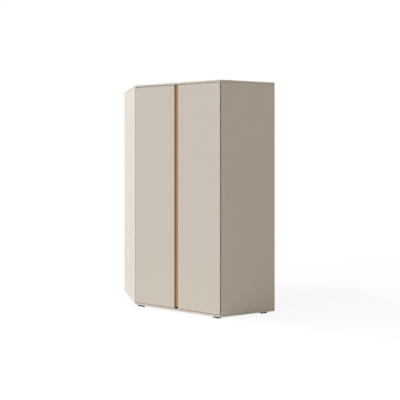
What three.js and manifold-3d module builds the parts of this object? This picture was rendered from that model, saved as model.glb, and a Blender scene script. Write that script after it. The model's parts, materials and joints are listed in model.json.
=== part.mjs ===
// Corner wardrobe with a diagonal front and two full-height doors.
// Millimetres, +Z up. The front faces -Y, and the room's corner is at +Y. The floor is at z = 0.
// The plan is a square set into the room's corner, with its front corner cut off by the doors.

import * as THREE from "three";
import { mergeVertices } from "three/addons/utils/BufferGeometryUtils.js";
import Module from "manifold-3d";

const wasm = await Module();
wasm.setup();

// Whole wardrobe
const carcassHeight = 2100;
const frontWidth = 885;
const sideDepth = 537;
const board = 18;
const backBoard = 3;
const reveal = 4;
const cornerGap = 5.8;
const seatGap = 0.3;
const overrun = 20;
const weld = 0.0003;

// Feet
const footHeight = 20;
const footLength = 68;
const footDepth = 48;
const footCorner = 4;
const frontFootFromCorner = 48;
const frontFootInset = 47;
const sideFootFromRear = 93;
const sideFootInset = 51;
const rearFootInset = 120;

// Inside
const postSize = 40;
const hatSpace = 300;
const shelfSetback = 26;
const supportLength = 30;
const supportReach = 22;
const supportDrop = 26;
const supportSheet = 2;
const supportFromFront = 150;
const supportFromRear = 60;
const bumperRadius = 6;
const bumperFromCorner = 230;

// Hanging rail
const railRadius = 12.5;
const railWall = 1.5;
const railDrop = 62;
const railSetback = 450;
const railSpan = 960;
const railEnd = 6;
const hangerSheet = 5;
const hangerFlangeSheet = 2.5;
const hangerRim = 6;
const hangerNeck = 26;
const hangerFlangeWidth = 34;
const hangerFlangeLength = 54;

// Gold channel between the doors
const channelWidth = 38;
const bladeDepth = 13;
const bladeSheet = 1.5;
const bladeClearance = 2.5;
const bladeReturn = 5;
const bladeLift = 11;
const bladeSeatWidth = 24;

// Concealed hinges
const hingesPerDoor = 4;
const hingeFromDoorEnd = 100;
const cupRadius = 17.5;
const cupDepth = 11.5;
const cupFromDoorEdge = 22.5;
const cupRim = 1;
const cupFlangeSheet = 1.5;
const cupFlangeWidth = 22;
const cupFlangeLength = 62;
const pocketHalfHeight = 10;
const pocketDepth = 9.5;
const pocketInner = 9;
const pocketOuter = 12;
const pocketMouth = 1;
const cupPinOffset = 1.6;
const cupPinDepth = 0.5;
const armPinReach = 7;
const armPinStandoff = 9;
const doorOpeningDegrees = 110;
const knuckleOpenAside = 30;
const knuckleOpenAhead = 10;
const pinRadius = 1.5;
const pinClearance = 0.3;
const linkHalfWidth = 3.4;
const linkHeight = 8;
const linkSpacing = 0.5;
const looseEyeHole = 4;
const looseEyeRim = 2;
const armCheek = 2;
const armCheekGap = 0.7;
const armEnd = 4;
const armLow = 5;
const armHigh = 13;
const armWeb = 1.5;
const armWebStart = 18;
const armLength = 62;
const plateSheet = 4;
const plateFromFront = 37;
const plateWidth = 32;
const plateHeight = 50;
const saddleWidth = 22;

// Angles and counts
const turn = 2 * Math.PI;
const mitreAngle = Math.PI / 8;
const roundSides = 24;
const pinSides = 10;

// Sizes that follow from the ones above
const mitreSlope = Math.tan(mitreAngle);
const mitreOffset = cornerGap / 2 / Math.cos(mitreAngle);
const halfFront = frontWidth / 2;
const sideReach = sideDepth * Math.SQRT1_2;
const wallRun = sideDepth + frontWidth * Math.SQRT1_2;
const planDepth = 2 * sideReach + halfFront;
const frontY = -planDepth / 2;
const rearY = planDepth / 2;
const backInset = backBoard + seatGap;
const bottomTop = footHeight + board;
const topUnderside = footHeight + carcassHeight - board;
const innerHeight = topUnderside - bottomTop;
const doorBottom = bottomTop + reveal;
const doorHeight = innerHeight - 2 * reveal;
const shelfUnderside = topUnderside - hatSpace - board;
const doorEdgeInside = board * mitreSlope + mitreOffset;
const channelHalf = channelWidth / 2;

// Finishes
const boardFinish = new THREE.MeshStandardMaterial({ color: "#cbc2b6", roughness: 0.6, metalness: 0 });
const backFinish = new THREE.MeshStandardMaterial({ color: "#d8d2c8", roughness: 0.7, metalness: 0 });
const timberFinish = new THREE.MeshStandardMaterial({ color: "#c9a878", roughness: 0.7, metalness: 0 });
const goldFinish = new THREE.MeshStandardMaterial({ color: "#b08a4a", roughness: 0.35, metalness: 0.9 });
const steelFinish = new THREE.MeshStandardMaterial({ color: "#b9bcc0", roughness: 0.3, metalness: 1 });
const plasticFinish = new THREE.MeshStandardMaterial({ color: "#1b1b1c", roughness: 0.6, metalness: 0 });
const rubberFinish = new THREE.MeshStandardMaterial({ color: "#e4e2dc", roughness: 0.8, metalness: 0 });

// Closed solids

function solidOf(geometry) {
  const bare = new THREE.BufferGeometry();
  const loose = geometry.index ? geometry.toNonIndexed() : geometry;
  bare.setAttribute("position", loose.getAttribute("position").clone());
  const merged = mergeVertices(bare, weld);
  const mesh = new wasm.Mesh({
    numProp: 3,
    vertProperties: merged.attributes.position.array,
    triVerts: new Uint32Array(merged.index.array),
  });
  return new wasm.Manifold(mesh);
}

function geometryOf(solid) {
  const mesh = solid.getMesh();
  const geometry = new THREE.BufferGeometry();
  geometry.setAttribute("position", new THREE.BufferAttribute(mesh.vertProperties, 3));
  geometry.setIndex(new THREE.BufferAttribute(mesh.triVerts, 1));
  const flat = geometry.toNonIndexed();
  flat.computeVertexNormals();
  return flat;
}

function joined(geometries) {
  const solids = geometries.map(solidOf);
  return geometryOf(solids.reduce((whole, next) => whole.add(next)));
}

function cut(geometry, cutters) {
  const whole = solidOf(geometry);
  return geometryOf(cutters.map(solidOf).reduce((rest, next) => rest.subtract(next), whole));
}

// A flat shape seen in plan, standing from low to high.
function standing(shape, low, high) {
  const options = { depth: high - low, bevelEnabled: false, curveSegments: pinSides / 2 };
  return new THREE.ExtrudeGeometry(shape, options).translate(0, 0, low);
}

function outline(points) {
  return new THREE.Shape(points.map(([x, y]) => new THREE.Vector2(x, y)));
}

function block(x0, x1, y0, y1, z0, z1) {
  const corners = [[x0, y0], [x1, y0], [x1, y1], [x0, y1]];
  return standing(outline(corners), z0, z1);
}

// A shape drawn in the Y-Z plane, reaching from x0 to x1.
function lyingAlongX(shape, x0, x1) {
  const options = { depth: x1 - x0, bevelEnabled: false, curveSegments: roundSides / 2 };
  const geometry = new THREE.ExtrudeGeometry(shape, options);
  return geometry.rotateX(turn / 4).rotateZ(turn / 4).translate(x0, 0, 0);
}

function disc(x, z, radius, y0, y1, sides) {
  const geometry = new THREE.CylinderGeometry(radius, radius, y1 - y0, sides);
  return geometry.translate(x, (y0 + y1) / 2, z);
}

function pin(point, radius, low, high) {
  const shape = new THREE.Shape();
  shape.absarc(point.x, point.y, radius, 0, turn);
  return standing(shape, low, high);
}

// Places in plan, for the right half of the wardrobe

// Along the side from the front corner, and inwards from the side's outer face.
function sidePlace(along, inwards) {
  const x = halfFront + (along - inwards) * Math.SQRT1_2;
  const y = frontY + (along + inwards) * Math.SQRT1_2;
  return new THREE.Vector2(x, y);
}

// Along the front from its corner towards the middle, and inwards from the front.
function frontPlace(along, inwards) {
  return new THREE.Vector2(halfFront - along, frontY + inwards);
}

// Along the right wall from the room's corner, and inwards from the wall.
function wallPlace(along, inwards) {
  const x = (along - inwards) * Math.SQRT1_2;
  const y = rearY - (along + inwards) * Math.SQRT1_2;
  return new THREE.Vector2(x, y);
}

function rectangle(place, along0, along1, in0, in1) {
  const corners = [place(along0, in0), place(along1, in0), place(along1, in1), place(along0, in1)];
  return new THREE.Shape(corners);
}

// The mitre between door and side, which leaves half the corner gap on each board.
function mitreAt(inwards) {
  return inwards * mitreSlope + mitreOffset;
}

function mirrored(points) {
  const left = points.filter((point) => point.x > 0).reverse();
  return points.concat(left.map((point) => new THREE.Vector2(-point.x, point.y)));
}

// The plan of the whole wardrobe, with each edge moved inwards.
function planShape(fromFront, fromSide, rearPoints) {
  const corner = frontPlace(Math.SQRT2 * fromSide - fromFront, fromFront);
  const rearEnd = sidePlace(sideDepth - backInset, fromSide);
  return new THREE.Shape(mirrored([corner, rearEnd, ...rearPoints]));
}

// Meshes

function piece(name, geometry, finish) {
  const mesh = new THREE.Mesh(geometry, finish);
  mesh.name = name;
  return mesh;
}

// Top and bottom boards run through to the door fronts and stop at the back panels.
function coverPanel(name, low) {
  const shape = planShape(0, 0, [wallPlace(backInset, backInset)]);
  const mesh = piece(name, standing(shape, 0, board), boardFinish);
  mesh.position.z = low;
  return mesh;
}

function sidePanel(name) {
  const rear = sideDepth - backInset;
  const corners = [
    sidePlace(mitreAt(0), 0),
    sidePlace(rear, 0),
    sidePlace(rear, board),
    sidePlace(mitreAt(board), board),
  ];
  const geometry = standing(new THREE.Shape(corners), bottomTop + seatGap, topUnderside - seatGap);
  return piece(name, geometry, boardFinish);
}

function backPanel(name, start) {
  const shape = rectangle(wallPlace, start, wallRun, 0, backBoard);
  const geometry = standing(shape, footHeight, footHeight + carcassHeight);
  return piece(name, geometry, backFinish);
}

function cornerPost() {
  const inner = backInset + postSize;
  const shape = rectangle(wallPlace, backInset, inner, backInset, inner);
  const geometry = standing(shape, bottomTop + seatGap, topUnderside - seatGap);
  return piece("rear_corner_post", geometry, timberFinish);
}

// The hat shelf is notched round the corner post.
function hatShelf() {
  const inner = backInset + postSize + seatGap;
  const notch = [wallPlace(inner, backInset), wallPlace(inner, inner)];
  const geometry = standing(planShape(shelfSetback, board + seatGap, notch), 0, board);
  const mesh = piece("hat_shelf", geometry, boardFinish);
  mesh.position.z = shelfUnderside;
  return mesh;
}

// An angle bracket under the shelf, on a board whose face lies at the given inset.
function shelfSupport(name, place, along, face) {
  const near = face + seatGap;
  const high = shelfUnderside - seatGap;
  const from = along - supportLength / 2;
  const to = along + supportLength / 2;
  const upright = rectangle(place, from, to, near, near + supportSheet);
  const ledge = rectangle(place, from, to, near, near + supportReach);
  const parts = [
    standing(upright, high - supportDrop, high),
    standing(ledge, high - supportSheet, high),
  ];
  return piece(name, joined(parts), steelFinish);
}

function doorBumper(name) {
  const z = shelfUnderside + board / 2;
  const y0 = frontY + board + seatGap;
  const y1 = frontY + shelfSetback - seatGap;
  const x = halfFront - bumperFromCorner;
  return piece(name, disc(x, z, bumperRadius, y0, y1, pinSides), rubberFinish);
}

// Each foot lies along the board that it stands under.
function foot(name, centre, angle) {
  const x = footLength / 2;
  const y = footDepth / 2;
  const inX = x - footCorner;
  const inY = y - footCorner;
  const quarter = [[x, inY], [inX, y]];
  const rear = quarter.concat(quarter.map(([px, py]) => [-px, py]).reverse());
  const corners = rear.concat(rear.map(([px, py]) => [px, -py]).reverse());
  const mesh = piece(name, standing(outline(corners), 0, footHeight - seatGap), plasticFinish);
  mesh.position.set(centre.x, centre.y, 0);
  mesh.rotation.z = angle;
  return mesh;
}

// Hanging rail

const railY = frontY + railSetback;
const railZ = shelfUnderside - railDrop;

function ring(outer, inner) {
  const shape = new THREE.Shape();
  shape.absarc(railY, railZ, outer, 0, turn);
  const hole = new THREE.Path();
  hole.absarc(railY, railZ, inner, 0, turn);
  shape.holes.push(hole);
  return shape;
}

function hangingRail() {
  const reach = railSpan / 2 + hangerSheet / 2 + railEnd;
  const geometry = lyingAlongX(ring(railRadius, railRadius - railWall), -reach, reach);
  return piece("hanging_rail", geometry, steelFinish);
}

function railBracket(name) {
  const x = railSpan / 2;
  const high = shelfUnderside - seatGap;
  const eye = railRadius + seatGap;
  const halfNeck = hangerNeck / 2;
  const halfFlange = hangerFlangeLength / 2;
  const neck = block(
    x - hangerSheet / 2, x + hangerSheet / 2, railY - halfNeck, railY + halfNeck, railZ, high,
  );
  const flange = block(
    x - hangerFlangeWidth / 2, x + hangerFlangeWidth / 2,
    railY - halfFlange, railY + halfFlange, high - hangerFlangeSheet, high,
  );
  const rim = new THREE.Shape();
  rim.absarc(railY, railZ, eye + hangerRim, 0, turn);
  const rimBody = lyingAlongX(rim, x - hangerSheet / 2, x + hangerSheet / 2);
  const hole = new THREE.Shape();
  hole.absarc(railY, railZ, eye, 0, turn);
  const drill = lyingAlongX(hole, x - overrun, x + overrun);
  return piece(name, cut(joined([neck, flange, rimBody]), [drill]), steelFinish);
}

// Doors

function hingeLevels() {
  const first = doorBottom + hingeFromDoorEnd;
  const pitch = (doorHeight - 2 * hingeFromDoorEnd) / (hingesPerDoor - 1);
  return Array.from({ length: hingesPerDoor }, (_, index) => first + index * pitch);
}

const cupAlong = doorEdgeInside + cupFromDoorEdge;

function door(name) {
  const inner = halfFront - channelHalf;
  const corners = [
    frontPlace(mitreAt(0), 0),
    frontPlace(doorEdgeInside, board),
    frontPlace(inner, board),
    frontPlace(inner, 0),
  ];
  const slab = standing(new THREE.Shape(corners), doorBottom, doorBottom + doorHeight);
  const centre = frontPlace(cupAlong, board);
  const floor = centre.y - cupDepth - seatGap;
  const bores = hingeLevels().map((z) =>
    disc(centre.x, z, cupRadius + seatGap, floor, centre.y + overrun, roundSides),
  );
  return piece(name, cut(slab, bores), boardFinish);
}

// The gold blade is the bottom of the channel. A flange on the right door's back carries it, and a leg
// along that door's edge brings it forward. It clears the left door's edge, where it has a return, and
// it ends a little above the doors' lower edges.
function channelBlade() {
  const free = bladeClearance - channelHalf;
  const leg = channelHalf - seatGap;
  const flangeEnd = channelHalf + bladeSeatWidth;
  const flange = board + seatGap;
  const corners = [
    [free, bladeDepth],
    [leg, bladeDepth],
    [leg, flange],
    [flangeEnd, flange],
    [flangeEnd, flange + bladeSheet],
    [leg - bladeSheet, flange + bladeSheet],
    [leg - bladeSheet, bladeDepth + bladeSheet],
    [free + bladeSheet, bladeDepth + bladeSheet],
    [free + bladeSheet, bladeDepth + bladeReturn],
    [free, bladeDepth + bladeReturn],
  ].map(([x, inwards]) => [x, frontY + inwards]);
  const geometry = standing(outline(corners), doorBottom + bladeLift, doorBottom + doorHeight);
  return piece("right_channel_blade", geometry, goldFinish);
}

// Hinges: the arm stays on the side panel, the cup goes with the door, and two links join them.

const doorAxis = frontPlace(mitreOffset, 0);
const cupPin = frontPlace(cupAlong - cupPinOffset, board - cupPinDepth);
const armPin = sidePlace(armPinReach, board + armPinStandoff);
const doorOpening = THREE.MathUtils.degToRad(doorOpeningDegrees);

// Where the knuckle between the links lies when the door is open and when it is closed.
function knucklePlace() {
  const open = frontPlace(knuckleOpenAside, -knuckleOpenAhead);
  const openCupPin = cupPin.clone().rotateAround(doorAxis, doorOpening);
  const armLink = open.distanceTo(armPin);
  const cupLink = open.distanceTo(openCupPin);
  const apart = cupPin.distanceTo(armPin);
  const along = (armLink ** 2 - cupLink ** 2 + apart ** 2) / (2 * apart);
  const aside = Math.sqrt(armLink ** 2 - along ** 2);
  const towards = cupPin.clone().sub(armPin).normalize();
  const square = new THREE.Vector2(towards.y, -towards.x);
  return armPin.clone().addScaledVector(towards, along).addScaledVector(square, aside);
}

const knuckle = knucklePlace();

function eyed(point, outer, inner, low, high) {
  const shape = new THREE.Shape();
  shape.absarc(point.x, point.y, outer, 0, turn);
  const hole = new THREE.Path();
  hole.absarc(point.x, point.y, inner, 0, turn);
  shape.holes.push(hole);
  return standing(shape, low, high);
}

function bar(from, to, trimFrom, trimTo, low, high) {
  const along = to.clone().sub(from).normalize();
  const aside = new THREE.Vector2(-along.y, along.x).multiplyScalar(linkHalfWidth);
  const start = from.clone().addScaledVector(along, trimFrom);
  const end = to.clone().addScaledVector(along, -trimTo);
  const corners = [
    start.clone().add(aside),
    start.clone().sub(aside),
    end.clone().sub(aside),
    end.clone().add(aside),
  ];
  return standing(new THREE.Shape(corners), low, high);
}

const pinHole = pinRadius + pinClearance;

// The arm's link turns on the arm's pin and carries the knuckle pin down into the cup's link.
function armLink(name, z) {
  const low = linkSpacing;
  const high = linkSpacing + linkHeight;
  const eye = pinHole + linkHalfWidth / 2;
  const parts = [
    bar(armPin, knuckle, eye - linkSpacing, 0, low, high),
    eyed(armPin, eye, pinHole, low, high),
    pin(knuckle, linkHalfWidth, low, high),
    pin(knuckle, pinRadius, -high, high),
  ];
  const mesh = piece(name, joined(parts), steelFinish);
  mesh.position.z = z;
  return mesh;
}

// The cup's link turns on the cup's pin, and its far eye is loose on the knuckle pin.
function cupLink(name, z) {
  const low = -linkSpacing - linkHeight;
  const high = -linkSpacing;
  const eye = pinHole + linkHalfWidth / 2;
  const parts = [
    bar(cupPin, knuckle, eye - linkSpacing, looseEyeHole + linkSpacing, low, high),
    eyed(cupPin, eye, pinHole, low, high),
    eyed(knuckle, looseEyeHole + looseEyeRim, looseEyeHole, low, high),
  ];
  const mesh = piece(name, joined(parts), steelFinish);
  mesh.position.z = z;
  return mesh;
}

function hingeArm(name, z) {
  const inside = linkSpacing + linkHeight + armCheekGap;
  const outside = inside + armCheek;
  const cheek = rectangle(sidePlace, armPinReach, armLength, board + armLow, board + armHigh);
  const web = rectangle(
    sidePlace, armWebStart, armLength, board + armHigh - armWeb, board + armHigh,
  );
  const saddleFrom = plateFromFront - saddleWidth / 2;
  const saddleTo = plateFromFront + saddleWidth / 2;
  const saddle = rectangle(sidePlace, saddleFrom, saddleTo, board + seatGap, board + armHigh);
  const plateFrom = plateFromFront - plateWidth / 2;
  const plateTo = plateFromFront + plateWidth / 2;
  const plate = rectangle(
    sidePlace, plateFrom, plateTo, board + seatGap, board + seatGap + plateSheet,
  );
  const parts = [
    standing(cheek, inside, outside),
    standing(cheek, -outside, -inside),
    pin(armPin, armEnd, inside, outside),
    pin(armPin, armEnd, -outside, -inside),
    pin(armPin, pinRadius, -outside, outside),
    standing(web, -outside, outside),
    standing(saddle, -inside - linkSpacing, inside + linkSpacing),
    standing(plate, -plateHeight / 2, plateHeight / 2),
  ];
  const mesh = piece(name, joined(parts), steelFinish);
  mesh.position.z = z;
  return mesh;
}

// The cup sits in the door's bore, with its flange on the door's back and a pin across its pocket.
function hingeCup(name, z) {
  const centre = frontPlace(cupAlong, board);
  const back = centre.y + seatGap;
  const face = back + cupFlangeSheet;
  const halfWidth = cupFlangeWidth / 2;
  const halfLength = cupFlangeLength / 2;
  const body = disc(centre.x, 0, cupRadius, centre.y - cupDepth, face, roundSides);
  const rim = disc(centre.x, 0, cupRadius + cupRim, back, face, roundSides);
  const flange = block(
    centre.x - halfWidth, centre.x + halfWidth, back, face, -halfLength, halfLength,
  );
  const pocket = block(
    centre.x - pocketInner, centre.x + pocketOuter,
    centre.y - pocketDepth, face + overrun, -pocketHalfHeight, pocketHalfHeight,
  );
  const mouth = block(
    centre.x, centre.x + overrun,
    centre.y - pocketMouth, face + overrun, -pocketHalfHeight, pocketHalfHeight,
  );
  const hollow = cut(joined([body, rim, flange]), [pocket, mouth]);
  const reach = pocketHalfHeight + linkSpacing;
  const mesh = piece(name, joined([hollow, pin(cupPin, pinRadius, -reach, reach)]), steelFinish);
  mesh.position.z = z;
  return mesh;
}

function hinge(side, number, z) {
  const group = new THREE.Group();
  group.add(hingeArm(`${side}_hinge_arm_${number}`, z));
  group.add(armLink(`${side}_hinge_arm_link_${number}`, z));
  group.add(cupLink(`${side}_hinge_cup_link_${number}`, z));
  group.add(hingeCup(`${side}_hinge_cup_${number}`, z));
  return group;
}

// One half of the wardrobe, drawn on the right and mirrored for the left.
function half(side, mirror, backStart) {
  const group = new THREE.Group();
  group.scale.x = mirror;
  const frontFoot = frontPlace(frontFootFromCorner, frontFootInset);
  const sideFoot = sidePlace(sideDepth - sideFootFromRear, sideFootInset);
  const rearSupport = sideDepth - supportFromRear;
  group.add(sidePanel(`${side}_side_panel`));
  group.add(backPanel(`${side}_back_panel`, backStart));
  group.add(door(`${side}_door`));
  group.add(doorBumper(`${side}_door_bumper`));
  group.add(foot(`${side}_front_foot`, frontFoot, 0));
  group.add(foot(`${side}_side_foot`, sideFoot, turn / 8));
  group.add(shelfSupport(`${side}_front_shelf_support`, sidePlace, supportFromFront, board));
  group.add(shelfSupport(`${side}_rear_shelf_support`, sidePlace, rearSupport, board));
  group.add(railBracket(`${side}_rail_bracket`));
  hingeLevels().forEach((z, index) => group.add(hinge(side, index + 1, z)));
  return group;
}

const wardrobe = new THREE.Group();
const postFace = backInset + postSize;
const rearFoot = new THREE.Vector2(0, rearY - rearFootInset);
wardrobe.add(coverPanel("bottom_panel", footHeight));
wardrobe.add(coverPanel("top_panel", topUnderside));
wardrobe.add(cornerPost());
wardrobe.add(hatShelf());
wardrobe.add(shelfSupport("post_shelf_support", wallPlace, backInset + postSize / 2, postFace));
wardrobe.add(hangingRail());
wardrobe.add(channelBlade());
wardrobe.add(foot("rear_foot", rearFoot, 0));
wardrobe.add(half("left", -1, 0));
wardrobe.add(half("right", 1, backInset));

export default wardrobe;
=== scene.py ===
# %% [markdown]
# A corner wardrobe, finished piece by piece.
# The frame holds every board, hinge and foot at its real place, in metres, with the front facing -Y.
# This file never moves those parts. It gives them rounded edges, small fittings and real finishes.

# %% Load the frame
import json
import math

import bmesh
import bpy
from mathutils import Matrix, Vector


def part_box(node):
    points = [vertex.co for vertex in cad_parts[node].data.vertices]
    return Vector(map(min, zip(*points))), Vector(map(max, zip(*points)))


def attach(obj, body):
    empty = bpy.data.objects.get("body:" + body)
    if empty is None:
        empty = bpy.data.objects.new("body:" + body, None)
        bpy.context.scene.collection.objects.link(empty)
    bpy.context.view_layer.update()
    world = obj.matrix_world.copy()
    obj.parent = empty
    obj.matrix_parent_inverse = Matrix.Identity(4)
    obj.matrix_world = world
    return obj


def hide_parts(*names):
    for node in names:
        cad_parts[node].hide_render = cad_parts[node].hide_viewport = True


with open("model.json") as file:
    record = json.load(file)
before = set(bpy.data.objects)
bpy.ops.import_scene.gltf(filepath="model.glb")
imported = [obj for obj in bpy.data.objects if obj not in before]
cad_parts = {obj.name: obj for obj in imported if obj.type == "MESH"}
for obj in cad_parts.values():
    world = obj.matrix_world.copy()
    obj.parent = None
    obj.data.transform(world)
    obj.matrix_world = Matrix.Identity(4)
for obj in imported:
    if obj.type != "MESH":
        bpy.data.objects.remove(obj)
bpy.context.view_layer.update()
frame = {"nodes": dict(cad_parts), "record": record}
nodes = frame["nodes"]
MM = 0.001

# %% [markdown]
# The photograph was taken from the right of the front, at eye height, with the camera held level.
# A level camera keeps the wardrobe's uprights parallel. The lens is slid down instead of tilted,
# which is what the shift does, so the horizon lies above the middle of the picture.

# %% Camera
PICTURE = 400
HORIZON_ROW = 154.35
FOCAL_PIXELS = 497.5
CAMERA_AZIMUTH = math.radians(25.338)
CAMERA_PLACE = Vector((2.159, -4.6472, 1.460))
SENSOR_WIDTH = 36.0

camera_data = bpy.data.cameras.new("camera")
camera_data.sensor_width = SENSOR_WIDTH
camera_data.lens = FOCAL_PIXELS * SENSOR_WIDTH / PICTURE
camera_data.shift_y = (HORIZON_ROW - PICTURE / 2) / PICTURE
camera = bpy.data.objects.new("camera", camera_data)
camera.location = CAMERA_PLACE
camera.rotation_euler = (math.pi / 2, 0, CAMERA_AZIMUTH)
bpy.context.scene.collection.objects.link(camera)
bpy.context.scene.camera = camera
print("camera: lens", round(camera_data.lens, 2), "mm, shift", round(camera_data.shift_y, 4))


# %% [markdown]
# A material in Blender is a small graph of nodes. A few helpers keep each finish short: one makes a
# material with its shader, one joins an output to an input, and one adds a sum to the graph.

# %% Node helpers
def new_material(name, color, roughness, metallic):
    material = bpy.data.materials.new(name)
    material.use_nodes = True
    shader = material.node_tree.nodes["Principled BSDF"]
    shader.inputs["Base Color"].default_value = (*color, 1)
    shader.inputs["Roughness"].default_value = roughness
    shader.inputs["Metallic"].default_value = metallic
    return material, material.node_tree, shader


def join(tree, source, target):
    tree.links.new(source, target)


def math_node(tree, operation, *values):
    """A Math node. A value is a number or another node's output."""
    node = tree.nodes.new("ShaderNodeMath")
    node.operation = operation
    for socket, value in zip(node.inputs, values):
        if isinstance(value, (int, float)):
            socket.default_value = value
        else:
            join(tree, value, socket)
    return node.outputs[0]


# %% [markdown]
# Most surfaces of a wardrobe differ only in the pattern that breaks up their colour and gloss, and in
# its scale. So the patterns are node groups, built once and placed in each finish with its own values.
# Fine grain is the pearl-like press of melamine, the bead of moulded plastic or the nap of a primer.
# Drawn lines run up an extrusion or along a plank, and lying lines run along the hanging rail.
# Handling is the broad, faint unevenness that cleaning and hands leave on any surface.
# Each group gives a factor, which is spread about 1, and a height for a bump. Where a group is placed,
# it gets the scale of its pattern and the strength of its spread.

# %% Shared effects
NOISE_MEAN = 0.5


def noise_group(name, detail, stretch=(1, 1, 1)):
    group = bpy.data.node_groups.new(name, "ShaderNodeTree")
    for label in ("Scale", "Strength"):
        group.interface.new_socket(label, in_out="INPUT", socket_type="NodeSocketFloat")
    for label in ("Factor", "Height"):
        group.interface.new_socket(label, in_out="OUTPUT", socket_type="NodeSocketFloat")
    entry = group.nodes.new("NodeGroupInput")
    leave = group.nodes.new("NodeGroupOutput")
    place = group.nodes.new("ShaderNodeTexCoord")
    mapping = group.nodes.new("ShaderNodeMapping")
    mapping.inputs["Scale"].default_value = stretch
    noise = group.nodes.new("ShaderNodeTexNoise")
    noise.inputs["Detail"].default_value = detail
    join(group, place.outputs["Object"], mapping.inputs["Vector"])
    join(group, mapping.outputs["Vector"], noise.inputs["Vector"])
    join(group, entry.outputs["Scale"], noise.inputs["Scale"])
    centred = math_node(group, "SUBTRACT", noise.outputs["Fac"], NOISE_MEAN)
    factor = math_node(group, "MULTIPLY_ADD", centred, entry.outputs["Strength"], 1.0)
    join(group, factor, leave.inputs["Factor"])
    join(group, noise.outputs["Fac"], leave.inputs["Height"])
    return group


ALONG_Z = (300, 300, 3)
ALONG_X = (3, 300, 300)
MESH_SIZE = (420, 420, 420)
fine_grain = noise_group("fine grain", detail=3)
drawn_lines = noise_group("drawn lines", detail=2, stretch=ALONG_Z)
lying_lines = noise_group("lying lines", detail=2, stretch=ALONG_X)
handling = noise_group("handling", detail=4)
pressed_mesh = noise_group("pressed mesh", detail=3, stretch=MESH_SIZE)
print("shared effects:", len(bpy.data.node_groups))

# %% [markdown]
# Every finish is laid in the same three steps. The pattern and a broad handling multiply the colour, a
# finer handling multiplies the roughness, and the pattern's height feeds a bump. The bump is a few
# hundredths of a millimetre deep, as on the real surface: the shape itself always comes from the mesh.
# A surface that is clouded by nature, such as raw board, brings its own scale and strength for that.

# %% Laying effects on a finish
HANDLING_SCALE = 2.5
HANDLING_SPREAD = 0.25


def use_group(tree, group, scale, strength):
    node = tree.nodes.new("ShaderNodeGroup")
    node.node_tree = group
    node.inputs["Scale"].default_value = scale
    node.inputs["Strength"].default_value = strength
    return node


def finish(name, color, roughness, metallic, pattern, scale, spread, depth, specular=0.5, clouds=None):
    material, tree, shader = new_material(name, color, roughness, metallic)
    shader.inputs["Specular IOR Level"].default_value = specular
    surface = use_group(tree, pattern, scale, spread)
    touched = use_group(tree, handling, HANDLING_SCALE, HANDLING_SPREAD)
    broad = use_group(tree, handling, *(clouds or (HANDLING_SCALE / 2, spread / 2)))
    uneven = math_node(tree, "MULTIPLY", surface.outputs["Factor"], broad.outputs["Factor"])
    tint = tree.nodes.new("ShaderNodeVectorMath")
    tint.operation = "SCALE"
    tint.inputs[0].default_value = color
    join(tree, uneven, tint.inputs["Scale"])
    join(tree, tint.outputs[0], shader.inputs["Base Color"])
    gloss = math_node(tree, "MULTIPLY", touched.outputs["Factor"], roughness)
    join(tree, gloss, shader.inputs["Roughness"])
    bump = tree.nodes.new("ShaderNodeBump")
    bump.inputs["Strength"].default_value = 1
    bump.inputs["Distance"].default_value = depth
    join(tree, surface.outputs["Height"], bump.inputs["Height"])
    join(tree, bump.outputs["Normal"], shader.inputs["Normal"])
    return material


# %% [markdown]
# The boards are faced with a matt cashmere-beige melamine, and their cut edges carry a band of the
# same colour, a little smoother than the face. The backs are thin painted fibreboard. The blade behind
# the channel is gold-anodised aluminium, and the doors' edges beside it have a band of gold foil, which
# is less metallic. Its colour is partly the band's own gold and partly a painted reflection: it is made
# lighter than the blade, to stand for the warm light that the blade throws onto the edge in the shade.
# The fittings are nickel-plated steel, the rail is chromed, the feet are black plastic, the bumpers are
# rubber and the post behind is planed pine.
# A fibreboard back is painted on the side that shows inside. The side towards the wall is left raw:
# brown, with the faint mesh that the press leaves, and nobody sees it once the wardrobe stands.
# The values in each line are the colour, the roughness, how metallic it is, the pattern with its scale
# and the spread of its colour, and the depth of the bump.

# %% Finishes
cashmere = finish("cashmere melamine", (0.600, 0.553, 0.486), 0.55, 0, fine_grain, 900, 0.03, 0.03 * MM)
edge_band = finish("cashmere edge band", (0.590, 0.543, 0.476), 0.42, 0, fine_grain, 1600, 0.02, 0.01 * MM)
# The gold band's colour is lighter than the blade's: it holds a painted reflection of the gold blade on
# the shaded door edge.
gold_band_with_painted_reflection = finish("gold foil band with painted reflection", (0.85, 0.53, 0.23), 0.5, 0.5, drawn_lines, 1, 0.10, 0.01 * MM)
back_board = finish("painted fibreboard", (0.560, 0.515, 0.450), 0.78, 0, fine_grain, 350, 0.08, 0.08 * MM)
gold = finish("gold anodised aluminium", (0.36, 0.242, 0.110), 0.36, 1, drawn_lines, 1, 0.12, 0.01 * MM)
nickel = finish("nickelled steel", (0.60, 0.59, 0.57), 0.27, 1, fine_grain, 700, 0.06, 0.01 * MM)
chrome = finish("chromed steel", (0.66, 0.66, 0.66), 0.10, 1, lying_lines, 1, 0.04, 0.002 * MM)
black_plastic = finish(
    "black plastic", (0.012, 0.012, 0.012), 0.7, 0, fine_grain, 1800, 0.2, 0.06 * MM, specular=0.2,
)
rubber = finish("pale rubber", (0.62, 0.61, 0.58), 0.7, 0, fine_grain, 1200, 0.05, 0.03 * MM)
pine = finish("planed pine", (0.66, 0.50, 0.31), 0.6, 0, drawn_lines, 0.6, 0.35, 0.05 * MM)
raw_board = finish(
    "raw hardboard", (0.33, 0.215, 0.125), 0.72, 0, pressed_mesh, 1, 0.30, 0.15 * MM,
    specular=0.3, clouds=(7, 0.34),
)
cap_plastic = finish("cap plastic", (0.585, 0.540, 0.470), 0.4, 0, fine_grain, 1400, 0.03, 0.02 * MM)
print("finishes:", len(bpy.data.materials))

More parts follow.
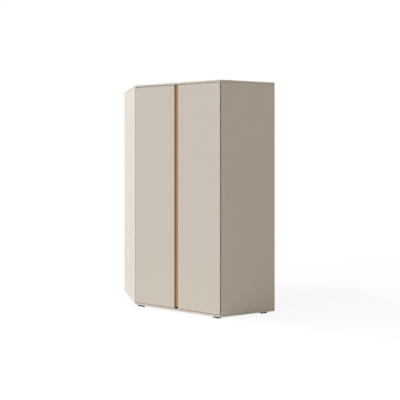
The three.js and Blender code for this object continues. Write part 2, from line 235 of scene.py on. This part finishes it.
# %% [markdown]
# The floor is a wide pale sheet that throws warm light back at the boards. Where the wardrobe's shadow
# lies on it, to the right, it throws none, which darkens the foot of the right side as in the photograph.
# To the camera and in metal it looks like white paper: most of what they see is a plain glow, and a
# small part is real light, so that a faint shadow still shows. The surroundings are white in the same
# way, and light the boards only a little.

# %% Floor and surroundings
FLOOR_SIZE = 60.0
FLOOR_COLOR = (0.74, 0.690, 0.600)
SEEN_COLOR = (0.12, 0.12, 0.12)
FLOOR_GLOW = 0.90
SKY_LIGHT = 0.30
SKY_TINT = (1.0, 0.925, 0.800)
WHITE = (1, 1, 1)


def seen_directly(tree):
    """1 where the camera, a reflection or a refraction looks, and 0 for scattered light."""
    path = tree.nodes.new("ShaderNodeLightPath")
    either = math_node(tree, "MAXIMUM", path.outputs["Is Camera Ray"], path.outputs["Is Glossy Ray"])
    return math_node(tree, "MAXIMUM", either, path.outputs["Is Transmission Ray"])


def mixed_color(tree, factor, first, second):
    node = tree.nodes.new("ShaderNodeMix")
    node.data_type = "RGBA"
    colors = [socket for socket in node.inputs if socket.type == "RGBA"]
    for socket, color in zip(colors, (first, second)):
        socket.default_value = (*color, 1)
    join(tree, factor, node.inputs["Factor"])
    return next(socket for socket in node.outputs if socket.type == "RGBA")


floor_bm = bmesh.new()
bmesh.ops.create_grid(floor_bm, x_segments=1, y_segments=1, size=FLOOR_SIZE / 2)
floor_mesh = bpy.data.meshes.new("floor")
floor_bm.to_mesh(floor_mesh)
floor_bm.free()
floor = bpy.data.objects.new("floor", floor_mesh)
bpy.context.scene.collection.objects.link(floor)

floor_material, floor_tree, floor_shader = new_material("pale floor", FLOOR_COLOR, 1, 0)
floor_tree.nodes.remove(floor_shader)
seen = seen_directly(floor_tree)
matt = floor_tree.nodes.new("ShaderNodeBsdfDiffuse")
join(floor_tree, mixed_color(floor_tree, seen, FLOOR_COLOR, SEEN_COLOR), matt.inputs["Color"])
glow = floor_tree.nodes.new("ShaderNodeEmission")
join(floor_tree, math_node(floor_tree, "MULTIPLY", seen, FLOOR_GLOW), glow.inputs["Strength"])
both = floor_tree.nodes.new("ShaderNodeAddShader")
join(floor_tree, matt.outputs[0], both.inputs[0])
join(floor_tree, glow.outputs[0], both.inputs[1])
join(floor_tree, both.outputs[0], floor_tree.nodes["Material Output"].inputs["Surface"])
floor_mesh.materials.append(floor_material)

world = bpy.data.worlds.new("surroundings")
bpy.context.scene.world = world
world.use_nodes = True
world_tree = world.node_tree
sky_color = tuple(SKY_LIGHT * part for part in SKY_TINT)
sky = mixed_color(world_tree, seen_directly(world_tree), sky_color, WHITE)
join(world_tree, sky, world_tree.nodes["Background"].inputs["Color"])
print("floor", FLOOR_SIZE, "m wide, sky light", SKY_LIGHT)

# %% [markdown]
# Two broad lamps light the wardrobe. The key stands high on the left, so the left side is the brightest
# and the floor along the right side lies in shadow. The second lamp stands low at the left front. It
# lights the doors, passes the right side, and puts little light on the floor. Metal doesn't mirror it,
# because the gold mirrors only pale surroundings in the photograph. Both lamps are a little cool, which
# balances the warm floor. The view transform stays plain, so that a colour renders as it is written.

# %% Lamps
LAMP_ANGLE = 20
KEY_COLOR = (0.98, 1.0, 1.06)
KEY_STRENGTH = 1.93
FRONT_COLOR = (0.985, 1.025, 1.125)
FRONT_STRENGTH = 1.57


def lamp(name, azimuth, height, strength, color, mirrored):
    """A broad far lamp. Azimuth 0 stands straight in front, and a negative one to the left."""
    data = bpy.data.lights.new(name, "SUN")
    data.energy = strength
    data.angle = math.radians(LAMP_ANGLE)
    data.color = color
    light = bpy.data.objects.new(name, data)
    light.rotation_euler = (math.radians(90 - height), 0, math.radians(azimuth))
    light.visible_glossy = mirrored
    bpy.context.scene.collection.objects.link(light)


lamp("key", azimuth=-75, height=50, strength=KEY_STRENGTH, color=KEY_COLOR, mirrored=True)
lamp("front", azimuth=-35, height=12, strength=FRONT_STRENGTH, color=FRONT_COLOR, mirrored=False)
bpy.context.scene.view_settings.view_transform = "Standard"
print("lamps:", KEY_STRENGTH, "and", FRONT_STRENGTH)

# %% [markdown]
# Real boards and pressings have no knife edges: a board's edge band is scraped to a radius of about a
# millimetre, and that radius catches the light. So each piece starts as a copy of its node's mesh. The
# copy's loose triangles are merged, its flat faces are made whole again, and then only the edges where
# two faces meet at an angle are bevelled.

# %% Piece helpers
MERGE = 0.01 * MM
NEAR = 0.2 * MM
FLAT_ANGLE = math.radians(1)
SHARP_ANGLE = math.radians(40)
ROUND_ANGLE = math.radians(40)
ROUND_PROFILE = 0.5
bodies = frame["record"]["behaviour"]["bodies"]
body_of_node = {node: body for body, members in bodies.items() for node in members}
slot_of_node = {part["node"]: part["material_slot"] for part in frame["record"]["subparts"]}


def copy_of(node):
    bm = bmesh.new()
    bm.from_mesh(nodes[node].data)
    bmesh.ops.remove_doubles(bm, verts=bm.verts, dist=MERGE)
    bmesh.ops.dissolve_limit(bm, angle_limit=FLAT_ANGLE, verts=bm.verts, edges=bm.edges)
    return bm


def sharp_edges(bm, angle=SHARP_ANGLE):
    return [edge for edge in bm.edges if edge.calc_face_angle(0) > angle]


def soften(bm, edges, radius, segments):
    bmesh.ops.bevel(
        bm, geom=edges, offset=radius, offset_type="OFFSET", affect="EDGES",
        segments=segments, profile=ROUND_PROFILE, material=-1, clamp_overlap=True,
    )


def near(value, target):
    return abs(value - target) < NEAR


def round_shading(bm):
    for face in bm.faces:
        face.smooth = True
    for edge in bm.edges:
        edge.smooth = edge.calc_face_angle(0) < ROUND_ANGLE


def add_piece(bm, name, body, materials, stands_for=()):
    mesh = bpy.data.meshes.new(name)
    bm.to_mesh(mesh)
    bm.free()
    for material in materials:
        mesh.materials.append(material)
    piece = bpy.data.objects.new(name, mesh)
    bpy.context.scene.collection.objects.link(piece)
    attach(piece, body)
    if stands_for:
        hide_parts(*stands_for)


# %% [markdown]
# The boards are 18 mm chipboard. The wide faces are melamine and the narrow ones are banded, which
# shows as a slightly smoother strip round each board, so the two get their own material. The wide
# face is simply the largest one, and every face turned well away from it is an edge. A door's edge at
# the channel is the one nearest to the middle, and it has the gold band, whose colour holds a painted
# reflection of the gold blade.
# The rims of the hinge bores are drilled, so they stay sharp. A side panel stands between the top and
# the bottom with an open hairline seam, so its ends are drawn back by less than a millimetre.

# %% Boards
EDGE_RADIUS = 1.0 * MM
EDGE_SEGMENTS = 3
SEAM = 0.8 * MM
BORE_EDGE = 10 * MM
EDGE_TURN = 0.5
CHANNEL_TURN = 0.7
WIDE, BANDED, GILT_AND_PAINTED_REFLECTION = range(3)


def at_channel(face, nearest):
    """True for the faces of a door's edge, with its two roundings, that lie nearest to the middle."""
    off = abs(face.calc_center_median().x) - nearest
    return abs(face.normal.x) > CHANNEL_TURN and off < EDGE_RADIUS / 2


def board_piece(node):
    low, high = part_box(node)
    bm = copy_of(node)
    wide = max(bm.faces, key=lambda face: face.calc_area()).normal.copy()
    if node.endswith("side_panel"):
        top = [vert for vert in bm.verts if near(vert.co.z, high.z)]
        bottom = [vert for vert in bm.verts if near(vert.co.z, low.z)]
        bmesh.ops.translate(bm, vec=(0, 0, -SEAM), verts=top)
        bmesh.ops.translate(bm, vec=(0, 0, SEAM), verts=bottom)
    outline = [edge for edge in sharp_edges(bm) if edge.calc_length() > BORE_EDGE]
    soften(bm, outline, EDGE_RADIUS, EDGE_SEGMENTS)
    bm.normal_update()
    is_door = node.endswith("_door")
    nearest = min(abs(vert.co.x) for vert in bm.verts)
    for face in bm.faces:
        face.material_index = BANDED if abs(face.normal.dot(wide)) < EDGE_TURN else WIDE
        # The faces at the channel take the gold band, whose colour holds a painted reflection of the gold
        # blade.
        if is_door and at_channel(face, nearest):
            face.material_index = GILT_AND_PAINTED_REFLECTION
    materials = [cashmere, edge_band, gold_band_with_painted_reflection] if is_door else [cashmere, edge_band]
    add_piece(bm, node + "_board", body_of_node[node], materials, [node])


boards = [node for node in nodes if slot_of_node[node] == "cashmere_board"]
for node in boards:
    board_piece(node)
print("boards:", boards)

# %% [markdown]
# The smaller parts follow the same way with their own radii: sheet and pressed steel have hardly any,
# the timber post has more, and a moulded foot the most. The hinges and the feet get smooth shading.
# A back panel's outward face, and its cut edges, take the raw finish.

# %% Small parts
SMALL_SEGMENTS = 2
PAINTED_TURN = 0.6
PAINTED, RAW = range(2)
small_looks = {
    "gold_aluminium": (gold, 0.35 * MM),
    "hinge_steel": (nickel, 0.35 * MM),
    "post_timber": (pine, 2.0 * MM),
    "back_board": (back_board, 0.4 * MM),
    "foot_plastic": (black_plastic, 2.2 * MM),
}
small_parts = [node for node in nodes if slot_of_node[node] in small_looks]
for node in small_parts:
    slot = slot_of_node[node]
    material, radius = small_looks[slot]
    materials = [material]
    bm = copy_of(node)
    soften(bm, sharp_edges(bm), radius, SMALL_SEGMENTS)
    if slot in ("hinge_steel", "foot_plastic"):
        round_shading(bm)
    if slot == "back_board":
        materials.append(raw_board)
        bm.normal_update()
        for face in bm.faces:
            face.material_index = PAINTED if face.normal.y < -PAINTED_TURN else RAW
    add_piece(bm, node + "_part", body_of_node[node], materials, [node])
print("small parts:", len(small_parts))


# %% [markdown]
# A turned part, such as a plug, a bumper or a cover cap, is a profile spun about its axis. The helper
# takes the profile as radius and height pairs that start and end on the axis, spins it about Z, and
# merges the poles, so that the part is closed. Most profiles are shares of one radius and one height.

# %% Turned parts
def shaped(shares, radius, height):
    """A profile from shares of a radius and a height, from the tip on the axis to the base."""
    return [(radius * out, height * up) for out, up in shares]


def turned(profile, sides):
    bm = bmesh.new()
    points = [bm.verts.new((radius, 0, height)) for radius, height in profile]
    lines = [bm.edges.new(pair) for pair in zip(points, points[1:])]
    bmesh.ops.spin(
        bm, geom=points + lines, cent=(0, 0, 0), axis=(0, 0, 1), angle=math.tau,
        steps=sides, use_merge=True, use_duplicate=False,
    )
    bmesh.ops.remove_doubles(bm, verts=bm.verts, dist=MERGE)
    bmesh.ops.recalc_face_normals(bm, faces=bm.faces)
    round_shading(bm)
    return bm


def facing(direction, place):
    """A matrix that stands a part on a place with its own +Z along a direction."""
    turn = Vector(direction).to_track_quat("Z", "Y").to_matrix().to_4x4()
    return Matrix.Translation(place) @ turn


def scattered(template, matrices):
    """One mesh that holds a copy of the template at each matrix."""
    mesh = bpy.data.meshes.new("template")
    template.to_mesh(mesh)
    template.free()
    bm = bmesh.new()
    for matrix in matrices:
        start = len(bm.verts)
        bm.from_mesh(mesh)
        bm.verts.ensure_lookup_table()
        bmesh.ops.transform(bm, matrix=matrix, verts=bm.verts[start:])
    bpy.data.meshes.remove(mesh)
    return bm


def new_verts(result):
    return [part for part in result["geom"] if isinstance(part, bmesh.types.BMVert)]


# %% [markdown]
# The hanging rail is a chromed steel tube with a plastic plug in each end. A tube is a ring of points
# that is extruded along its length and then given a wall. The plugs are short turned caps: a lip with a
# sloped shoulder outside, and a straight part that fills the tube.

# %% Hanging rail
RAIL_SIDES = 48
RAIL_WALL = 1.5 * MM
PLUG_SIDES = 32
PLUG_LIP = 2.0 * MM
PLUG_DEEP = 6.0 * MM
PLUG_FLAT_SHARE = 0.75
PLUG_SHOULDER_SHARE = 0.6
PLUG_SHOULDER_IN = 0.6 * MM

rail_low, rail_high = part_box("hanging_rail")
rail_centre = (rail_low + rail_high) / 2
rail_radius = (rail_high.z - rail_low.z) / 2
rail_length = rail_high.x - rail_low.x - 2 * PLUG_LIP

rail = bmesh.new()
ring = bmesh.ops.create_circle(rail, segments=RAIL_SIDES, radius=rail_radius)["verts"]
bmesh.ops.translate(rail, vec=(0, 0, -rail_length / 2), verts=ring)
far_ring = new_verts(bmesh.ops.extrude_edge_only(rail, edges=rail.edges[:]))
bmesh.ops.translate(rail, vec=(0, 0, rail_length), verts=far_ring)
bmesh.ops.recalc_face_normals(rail, faces=rail.faces)
bmesh.ops.solidify(rail, geom=rail.faces[:], thickness=RAIL_WALL)
bmesh.ops.recalc_face_normals(rail, faces=rail.faces)
bmesh.ops.transform(rail, matrix=facing((1, 0, 0), rail_centre), verts=rail.verts)
round_shading(rail)
widest = max(vert.co.z for vert in rail.verts) - rail_centre.z
add_piece(rail, "hanging_rail_tube", "carcass", [chrome], ["hanging_rail"])

bore_radius = rail_radius - RAIL_WALL
plug_profile = [
    (0, PLUG_LIP), (rail_radius * PLUG_FLAT_SHARE, PLUG_LIP),
    (rail_radius - PLUG_SHOULDER_IN, PLUG_LIP * PLUG_SHOULDER_SHARE), (rail_radius, 0),
    (bore_radius, 0), (bore_radius, -PLUG_DEEP), (0, -PLUG_DEEP),
]
plug_places = [
    facing((end, 0, 0), rail_centre + Vector((end * rail_length / 2, 0, 0))) for end in (-1, 1)
]
plugs = scattered(turned(plug_profile, PLUG_SIDES), plug_places)
add_piece(plugs, "rail_end_plugs", "carcass", [black_plastic])
print("rail:", round(rail_length, 3), "m long,", round(2 * widest / MM, 1), "mm across")

# %% [markdown]
# The door bumpers are domed rubber buttons on the shelf's front edge. Each fills the place of its node,
# from the shelf towards the door, so its own length sets the height of the dome.

# %% Door bumpers
DOME_SIDES = 24
DOME_SHARES = ((0, 1), (0.4, 0.96), (0.75, 0.78), (0.94, 0.45), (1, 0), (0, 0))

for node in [node for node in nodes if slot_of_node[node] == "bumper_rubber"]:
    low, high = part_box(node)
    radius = (high.z - low.z) / 2
    profile = shaped(DOME_SHARES, radius, high.y - low.y)
    seat = Vector(((low.x + high.x) / 2, high.y, (low.z + high.z) / 2))
    dome = scattered(turned(profile, DOME_SIDES), [facing((0, -1, 0), seat)])
    add_piece(dome, node + "_dome", body_of_node[node], [rubber], [node])
print("bumper:", round(2 * radius / MM, 1), "mm across")


# %% [markdown]
# Flat-pack furniture is held by pan-head screws with a cross recess. The head is a disc with a
# four-pointed star sunk in its top. The star is a ring of eight points, every other one drawn in, and
# bridge_loops joins it to the rim. The rim goes down to the seat in two steps, the upper one flared.

# %% Screws
SCREW_SIDES = 16
STAR_SIDES = 8
RIM_IN = 0.86
STAR_SIZE = 0.5
STAR_WAIST = 0.36
RECESS_SHARE = 0.6
SKIRT_STEPS = ((0.35, 1 / RIM_IN), (0.65, 1))


def loop_between(result, verts):
    return [
        part for part in result["geom"]
        if isinstance(part, bmesh.types.BMEdge) and all(vert in verts for vert in part.verts)
    ]


def screw(radius, height):
    bm = bmesh.new()
    bmesh.ops.create_circle(bm, segments=SCREW_SIDES, radius=radius * RIM_IN)
    rim = bm.edges[:]
    star = bmesh.ops.create_circle(bm, segments=STAR_SIDES, radius=radius * STAR_SIZE)["verts"]
    bmesh.ops.scale(bm, vec=(STAR_WAIST, STAR_WAIST, 1), verts=star[::2])
    bmesh.ops.bridge_loops(bm, edges=bm.edges[:])
    star_edges = [edge for edge in bm.edges if all(vert in star for vert in edge.verts)]
    sunk = bmesh.ops.extrude_edge_only(bm, edges=star_edges)
    recess = new_verts(sunk)
    bmesh.ops.translate(bm, vec=(0, 0, -height * RECESS_SHARE), verts=recess)
    bmesh.ops.contextual_create(bm, geom=loop_between(sunk, recess))
    for step, grown in SKIRT_STEPS:
        skirt = bmesh.ops.extrude_edge_only(bm, edges=rim)
        lower = new_verts(skirt)
        bmesh.ops.translate(bm, vec=(0, 0, -height * step), verts=lower)
        bmesh.ops.scale(bm, vec=(grown, grown, 1), verts=lower)
        rim = loop_between(skirt, lower)
    bmesh.ops.contextual_create(bm, geom=rim)
    bmesh.ops.translate(bm, vec=(0, 0, height), verts=bm.verts)
    bmesh.ops.recalc_face_normals(bm, faces=bm.faces)
    return bm


# %% [markdown]
# The screws' places come from the parts that they hold. The sides and walls stand at 45 degrees, so
# their places are counted along a side from its front corner, and inwards from its outer face.

# %% Places along the sides
SIDES = {"left": -1, "right": 1}
ORIGIN = Vector()
UP = Vector((0, 0, 1))


def side_axes(side):
    """A side's front corner, the way along it and the way inwards. -1 is the left side, 1 the right."""
    low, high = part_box("bottom_panel")
    front = [vert.co.x for vert in nodes["bottom_panel"].data.vertices if vert.co.y < low.y + MM]
    corner = Vector((side * max(front), low.y, 0))
    along = Vector((side, 1, 0)).normalized()
    inwards = Vector((-side, 1, 0)).normalized()
    return corner, along, inwards


def reach(node, origin, direction, keep=lambda point: True):
    """The least and greatest distance of a node's points from an origin, along a direction."""
    spans = [(vert.co - origin).dot(direction) for vert in nodes[node].data.vertices if keep(vert.co)]
    return min(spans), max(spans)


def lying_at(axis, value):
    """A test that keeps the points which lie at a value along "x", "y" or "z"."""
    return lambda point: near(getattr(point, axis), value)


print("front corner:", [round(part, 4) for part in side_axes(1)[0]])

# %% [markdown]
# Each hinge arm is screwed to the side through the two ends of its mounting plate, and has two screws
# of its own: one holds the arm on the plate and one sets the gap. Each cup has two more in its flange.

# %% Hinge screws
ARM_SCREWS_ALONG = (31 * MM, 52 * MM)
PLATE_SCREW_IN = 7 * MM
CUP_SCREW_IN = 5.5 * MM
HEAD = (3.6 * MM, 1.6 * MM)

arm_places = []
for side_name, side in SIDES.items():
    corner, along, inwards = side_axes(side)
    arms = [node for node in nodes if node.startswith(side_name + "_hinge_arm_") and "link" not in node]
    cups = [node for node in nodes if node.startswith(side_name + "_hinge_cup_") and "link" not in node]
    for node in arms:
        low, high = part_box(node)
        middle = (low.z + high.z) / 2
        plate_end = lying_at("z", high.z)
        plate_middle = sum(reach(node, corner, along, plate_end)) / 2
        plate_face = reach(node, corner, inwards, plate_end)[1]
        web_face = reach(node, corner, inwards)[1]
        for height in (low.z + PLATE_SCREW_IN, high.z - PLATE_SCREW_IN):
            place = corner + along * plate_middle + inwards * plate_face + UP * height
            arm_places.append(facing(inwards, place))
        for distance in ARM_SCREWS_ALONG:
            place = corner + along * distance + inwards * web_face + UP * middle
            arm_places.append(facing(inwards, place))
    cup_places = []
    for node in cups:
        low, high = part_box(node)
        for height in (low.z + CUP_SCREW_IN, high.z - CUP_SCREW_IN):
            cup_places.append(facing((0, 1, 0), Vector(((low.x + high.x) / 2, high.y, height))))
    cup_screws = scattered(screw(*HEAD), cup_places)
    add_piece(cup_screws, side_name + "_cup_screws", side_name + "_door", [nickel])
arm_screws = scattered(screw(*HEAD), arm_places)
add_piece(arm_screws, "hinge_arm_screws", "carcass", [nickel])
print("hinge screws:", len(arm_places), "in the sides,", 2 * len(cup_places), "in the doors")

# %% [markdown]
# The shelf supports and the rail brackets are screwed as well. A support's screw goes through its
# upright, below the shelf, and a bracket's two screws go up into the shelf. The support on the corner
# post is turned by itself, and the others face inwards from their side.

# %% Shelf and rail screws
BRACKET_SCREW_IN = 6 * MM
SUPPORT_SCREW_DOWN = 17 * MM
POST_INWARDS = Vector((-1, -1, 0)).normalized()

fixing_places = []
for node in [node for node in nodes if node.endswith("shelf_support")]:
    low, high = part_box(node)
    owner = node.split("_")[0]
    inwards = POST_INWARDS if owner == "post" else side_axes(SIDES[owner])[2]
    upright = lying_at("z", low.z)
    across = inwards.cross(UP)
    face = reach(node, ORIGIN, inwards, upright)[1]
    middle = sum(reach(node, ORIGIN, across, upright)) / 2
    place = inwards * face + across * middle + UP * (high.z - SUPPORT_SCREW_DOWN)
    fixing_places.append(facing(inwards, place))
for node in [node for node in nodes if node.endswith("rail_bracket")]:
    low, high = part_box(node)
    under = reach(node, ORIGIN, UP, lying_at("y", low.y))[0]
    for depth in (low.y + BRACKET_SCREW_IN, high.y - BRACKET_SCREW_IN):
        fixing_places.append(facing((0, 0, -1), Vector(((low.x + high.x) / 2, depth, under))))
fixings = scattered(screw(*HEAD), fixing_places)
add_piece(fixings, "shelf_and_rail_screws", "carcass", [nickel])
print("shelf and rail screws:", len(fixing_places))

# %% [markdown]
# The blade is screwed to the back of the right door, through the part of it that touches the door.

# %% Blade screws
BLADE_SCREWS = 7
BLADE_SCREW_IN = 60 * MM
BLADE_SCREW_FROM_EDGE = 8 * MM
BLADE_HEAD = (2.8 * MM, 1.2 * MM)

low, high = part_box("right_channel_blade")
blade_back = reach("right_channel_blade", ORIGIN, Vector((0, 1, 0)), lying_at("x", high.x))[1]
pitch = (high.z - low.z - 2 * BLADE_SCREW_IN) / (BLADE_SCREWS - 1)
blade_places = []
for index in range(BLADE_SCREWS):
    height = low.z + BLADE_SCREW_IN + index * pitch
    blade_places.append(facing((0, 1, 0), Vector((high.x - BLADE_SCREW_FROM_EDGE, blade_back, height))))
blade_screws = scattered(screw(*BLADE_HEAD), blade_places)
add_piece(blade_screws, "channel_blade_screws", "right_door", [nickel])
print("blade screws every", round(pitch, 3), "m")

# %% [markdown]
# The boards are drawn together by cam fittings in the inner faces of the sides, a little above the
# bottom and below the top. Each cam is hidden by a plastic cap in the boards' colour.

# %% Cam caps
CAM_FROM_END = 34 * MM
CAM_ALONG = (95 * MM, 270 * MM, 470 * MM)
CAP_SIDES = 24
CAP_RADIUS = 9 * MM
CAP_PROUD = 1.0 * MM
CAP_SHARES = ((0, 0.7), (0.3, 0.75), (0.8, 1), (0.95, 0.8), (1, 0), (0, 0))

cap_places = []
for side_name, side in SIDES.items():
    corner, along, inwards = side_axes(side)
    panel = side_name + "_side_panel"
    low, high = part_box(panel)
    face = reach(panel, corner, inwards)[1]
    for height in (low.z + CAM_FROM_END, high.z - CAM_FROM_END):
        for distance in CAM_ALONG:
            place = corner + along * distance + inwards * face + UP * height
            cap_places.append(facing(inwards, place))
cam_caps = scattered(turned(shaped(CAP_SHARES, CAP_RADIUS, CAP_PROUD), CAP_SIDES), cap_places)
add_piece(cam_caps, "cam_caps", "carcass", [cap_plastic])
print("cam caps:", len(cap_places))

# %% [markdown]
# A fibreboard back as tall as this comes as two boards, to fit the parcel. A moulded strip with an
# H-shaped section holds them together at half height, and a flat lip of it shows on both faces. A lip is
# a bar whose edges are bevelled and whose visible face is inset and sunk a little, as the mould leaves it.
# Outside it runs the whole width. Inside it runs from the corner post to the side panel.

# %% Joint strips
LIP_HEIGHT = 16 * MM
LIP_PROUD = 0.9 * MM
LIP_RADIUS = 0.35 * MM
LIP_CLEAR = 2 * MM
LIP_INSET = 3 * MM
LIP_SUNK = 0.3 * MM
LIP_CORNER = math.radians(60)
FACE_UP = 0.5


def wall_axes(side):
    """The way out of the wardrobe through a wall's back panel, and the way along it to the side."""
    return Vector((side, 1, 0)).normalized(), Vector((side, -1, 0)).normalized()


def lip(length, matrix):
    """A flat bar along X that stands LIP_PROUD above Z = 0."""
    bm = bmesh.new()
    bmesh.ops.create_cube(bm, size=1)
    bmesh.ops.scale(bm, vec=(length, LIP_HEIGHT, LIP_PROUD), verts=bm.verts)
    bmesh.ops.translate(bm, vec=(0, 0, LIP_PROUD / 2), verts=bm.verts)
    shown = [face for face in bm.faces if face.normal.z > FACE_UP]
    bmesh.ops.inset_region(bm, faces=shown, thickness=LIP_INSET)
    bmesh.ops.translate(bm, vec=(0, 0, -LIP_SUNK), verts=shown[0].verts)
    soften(bm, sharp_edges(bm, LIP_CORNER), LIP_RADIUS, SMALL_SEGMENTS)
    bmesh.ops.transform(bm, matrix=matrix, verts=bm.verts)
    bmesh.ops.recalc_face_normals(bm, faces=bm.faces)
    return bm


strip_length = {}
for side_name, side in SIDES.items():
    panel = side_name + "_back_panel"
    corner, _, inwards = side_axes(side)
    out, along = wall_axes(side)
    low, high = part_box(panel)
    inner_face, outer_face = reach(panel, ORIGIN, out)
    first, last = reach(panel, ORIGIN, along)
    post_end = reach("rear_corner_post", ORIGIN, along)[1]
    side_start = last - reach(side_name + "_side_panel", corner, inwards)[1]
    spans = {
        "outer": (first + LIP_CLEAR, last - LIP_CLEAR, outer_face, out),
        "inner": (post_end + LIP_CLEAR, side_start - LIP_CLEAR, inner_face, -out),
    }
    for label, (start, end, face, normal) in spans.items():
        middle = along * (start + end) / 2 + out * face + UP * ((low.z + high.z) / 2)
        turn = Matrix((UP.cross(normal), UP, normal)).transposed().to_4x4()
        strip = lip(end - start, Matrix.Translation(middle) @ turn)
        name = side_name + "_back_strip_" + label
        add_piece(strip, name, "carcass", [cap_plastic])
        strip_length[name] = round(end - start, 3)
print("joint strips:", strip_length)

# %% [markdown]
# The thin backs are nailed on from behind, along the top, the bottom, the shelf, the sides and the
# post. The nails have small flat heads, one about every hand's breadth, and none through the strip.

# %% Back nails
NAIL_SIDES = 10
NAIL_RADIUS = 2.2 * MM
NAIL_PROUD = 0.6 * MM
NAIL_IN = 9 * MM
NAIL_PITCH = 150 * MM
NAIL_SHARES = ((0, 1), (0.6, 0.9), (1, 0.3), (1, 0), (0, 0))

shelf_low, shelf_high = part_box("hat_shelf")


def evenly(start, end):
    """Places from start to end, about a nail's pitch apart."""
    steps = max(1, round((end - start) / NAIL_PITCH))
    return [start + (end - start) * index / steps for index in range(steps + 1)]


nail_places = []
for side_name, side in SIDES.items():
    panel = side_name + "_back_panel"
    low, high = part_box(panel)
    out, along = wall_axes(side)
    face = reach(panel, ORIGIN, out)[1]
    first, last = reach(panel, ORIGIN, along)
    columns = (first + NAIL_IN, last - NAIL_IN)
    rows = (low.z + NAIL_IN, (shelf_low.z + shelf_high.z) / 2, high.z - NAIL_IN)
    spots = {(distance, height) for height in rows for distance in evenly(*columns)}
    spots |= {(distance, height) for distance in columns for height in evenly(rows[0], rows[-1])}
    strip_height = (low.z + high.z) / 2
    for distance, height in sorted(spots):
        if abs(height - strip_height) > LIP_HEIGHT:
            nail_places.append(facing(out, along * distance + out * face + UP * height))
back_nails = scattered(turned(shaped(NAIL_SHARES, NAIL_RADIUS, NAIL_PROUD), NAIL_SIDES), nail_places)
add_piece(back_nails, "back_nails", "carcass", [nickel])
print("back nails:", len(nail_places))
